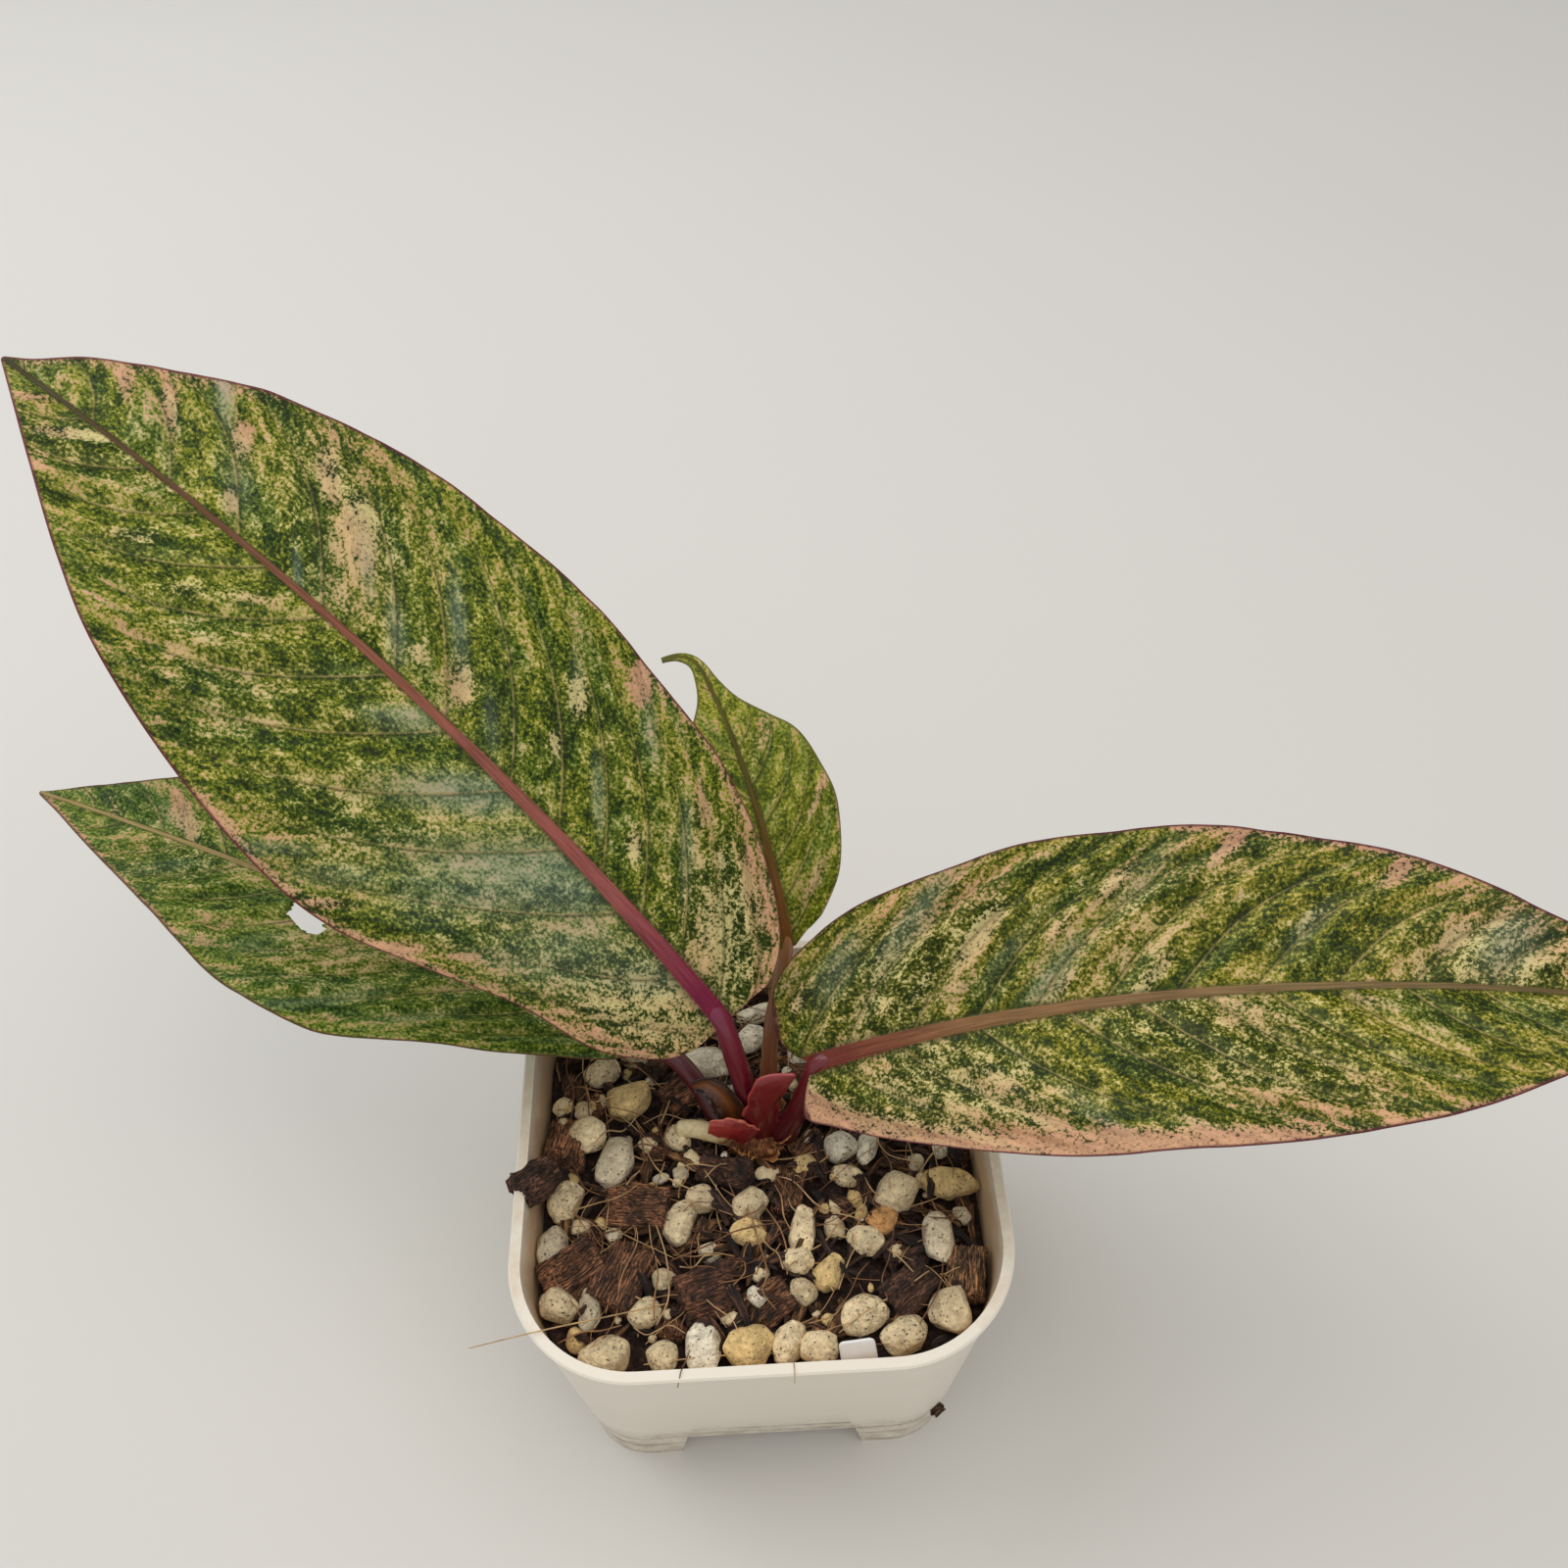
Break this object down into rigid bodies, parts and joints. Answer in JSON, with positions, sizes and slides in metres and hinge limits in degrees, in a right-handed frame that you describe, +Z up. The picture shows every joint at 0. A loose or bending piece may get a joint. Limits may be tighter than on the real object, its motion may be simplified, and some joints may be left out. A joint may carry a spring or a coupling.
{
  "type": "potted variegated renaissance anthurium",
  "caption": "House plant with broad mottled leaves on red stalks, a short stem with roots, and pumice mix in a square white plastic pot with a notched foot.",
  "frame": {"origin": "middle of the pot's flat underside, on the surface that the pot stands on", "axes": "+Z up; -Y is the front of the pot, +X its right-hand side, towards which the largest right-hand leaf points"},
  "size_m": [0.3506, 0.1559, 0.2062],
  "materials": {
    "pot_plastic": "warm white moulded polypropylene, satin",
    "potting_mix": "pale pumice stones, brown coconut husk chips and tan fibres",
    "stem": "brown fibrous stem and roots",
    "aerial_root": "smooth cream aerial root",
    "petiole_red": "smooth crimson leaf stalk",
    "petiole_brown": "orange-brown leaf stalk",
    "leaf_variegated": "glossy quilted leaf, green mottled with yellow-green, cream and pink",
    "leaf_young": "satin yellow-green leaf with dark olive mottling",
    "bract": "smooth red bract",
    "dry_sheath": "papery dark brown dead sheath",
    "label_plastic": "blank white plastic tag"
  },
  "bodies": {
    "root": {"pot": "pot_plastic", "potting_mix": "potting_mix", "stem_and_roots": "stem", "aerial_root": "aerial_root", "petiole_a": "petiole_red", "petiole_b": "petiole_red", "petiole_c": "petiole_brown", "petiole_d": "petiole_red", "leaf_a": "leaf_variegated", "leaf_b": "leaf_variegated", "leaf_c": "leaf_young", "leaf_d": "leaf_variegated", "bract_front": "bract", "bract_left": "bract", "dry_sheath": "dry_sheath", "plant_label": "label_plastic"}
  },
  "joints": []
}
